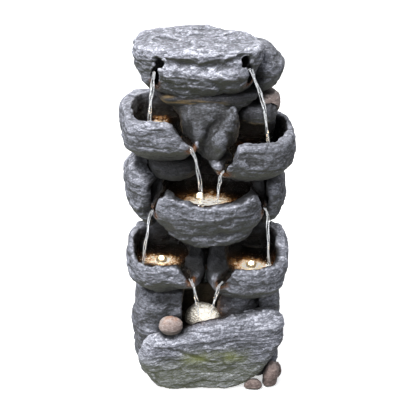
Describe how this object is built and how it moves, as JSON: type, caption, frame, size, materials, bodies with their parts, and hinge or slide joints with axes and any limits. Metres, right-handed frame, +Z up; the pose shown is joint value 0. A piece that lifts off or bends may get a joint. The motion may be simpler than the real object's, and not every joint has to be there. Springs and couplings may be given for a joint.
{
  "type": "rock fountain",
  "caption": "Tall free-standing rock-bowl water fountain: stacked cast stone bowls, cap stone, leaning front slab, lit basins, pump behind a rear door.",
  "frame": {"origin": "on the ground, under the middle of the outline", "axes": "+Z up, the bowls pour towards -Y, +X to the right seen from the front"},
  "size_m": [0.2884, 0.2362, 0.6],
  "materials": {
    "cast_stone": "matt slate-grey cast resin stone, dry-brushed with pale lavender",
    "dark_cast_stone": "matt dark slate cast resin stone",
    "pale_cast_stone": "matt pale cream cast resin stone",
    "rosy_cast_stone": "matt grey stone with a rosy wash",
    "black_plastic": "satin black plastic",
    "grey_plastic": "satin dark grey plastic",
    "white_plastic": "satin off-white plastic",
    "lamp_plastic": "glossy black plastic",
    "lamp_lens": "clear warm-white lamp lens, lit",
    "clear_hose": "clear flexible hose",
    "steel": "stainless",
    "shaft_ceramic": "polished ceramic",
    "rubber": "soft black rubber",
    "lead_sheath": "black flexible sheath"
  },
  "bodies": {
    "fountain": {"base_basin": "cast_stone", "front_slab": "cast_stone", "round_pebble": "rosy_cast_stone", "foot_pebbles": "dark_cast_stone", "splash_shelf": "dark_cast_stone", "splash_stone": "pale_cast_stone", "column_stone_low": "dark_cast_stone", "column_stone_mid": "dark_cast_stone", "column_stone_high": "dark_cast_stone", "lower_left_bowl": "cast_stone", "lower_right_bowl": "cast_stone", "lower_neck_stone": "dark_cast_stone", "middle_bowl": "cast_stone", "middle_ledge_stone": "dark_cast_stone", "middle_left_rock": "cast_stone", "middle_right_rock": "cast_stone", "middle_neck_stone": "dark_cast_stone", "upper_left_bowl": "cast_stone", "upper_right_bowl": "cast_stone", "saddle_stone": "cast_stone", "right_neck_stone_low": "dark_cast_stone", "right_neck_stone_high": "rosy_cast_stone", "upper_neck_slab": "dark_cast_stone", "top_bowl": "cast_stone", "cap_stone": "cast_stone", "crown_rock": "cast_stone", "door_hinge_pin": "steel", "latch_screw": "steel", "pump_housing": "black_plastic", "impeller_shaft": "shaft_ceramic", "pump_outlet": "black_plastic", "pump_cups": "rubber", "riser_tube": "clear_hose", "tube_clips": "grey_plastic", "top_nozzle": "black_plastic", "lamp_holder_upper_left": "lamp_plastic", "lamp_holder_upper_right": "lamp_plastic", "lamp_holder_middle": "lamp_plastic", "lamp_holder_lower_left": "lamp_plastic", "lamp_holder_lower_right": "lamp_plastic", "lamp_holder_splash": "lamp_plastic", "lamp_lens_upper_left": "lamp_lens", "lamp_lens_upper_right": "lamp_lens", "lamp_lens_middle": "lamp_lens", "lamp_lens_lower_left": "lamp_lens", "lamp_lens_lower_right": "lamp_lens", "lamp_lens_splash": "lamp_lens", "lamp_wiring": "lead_sheath", "lead_splice": "black_plastic", "pump_lead": "lead_sheath", "cable_gland": "black_plastic", "rubber_feet": "rubber"},
    "door": {"access_door": "cast_stone"},
    "latch": {"door_latch": "black_plastic"},
    "impeller": {"pump_impeller": "white_plastic"},
    "intake_cover": {"pump_intake_cover": "grey_plastic"},
    "regulator": {"pump_regulator": "white_plastic"}
  },
  "joints": [
    {"name": "door_swing", "type": "hinge", "parent": "fountain", "child": "door", "pos_m": [-0.044, 0.114, 0.11], "axis": [0, 0, 1], "range_deg": [0, 110]},
    {"name": "latch_turn", "type": "hinge", "parent": "fountain", "child": "latch", "pos_m": [0.053, 0.114, 0.11], "axis": [0, 1, 0], "range_deg": [-90, 0]},
    {"name": "impeller_spin", "type": "hinge", "parent": "fountain", "child": "impeller", "pos_m": [0, 0.03, 0.0358], "axis": [0, 1, 0], "continuous": true},
    {"name": "cover_slide", "type": "slide", "parent": "fountain", "child": "intake_cover", "axis": [0, 1, 0], "range_m": [0, 0.02]},
    {"name": "regulator_turn", "type": "hinge", "parent": "intake_cover", "child": "regulator", "pos_m": [0, 0.05, 0.0358], "axis": [0, 1, 0], "range_deg": [0, 90]}
  ]
}
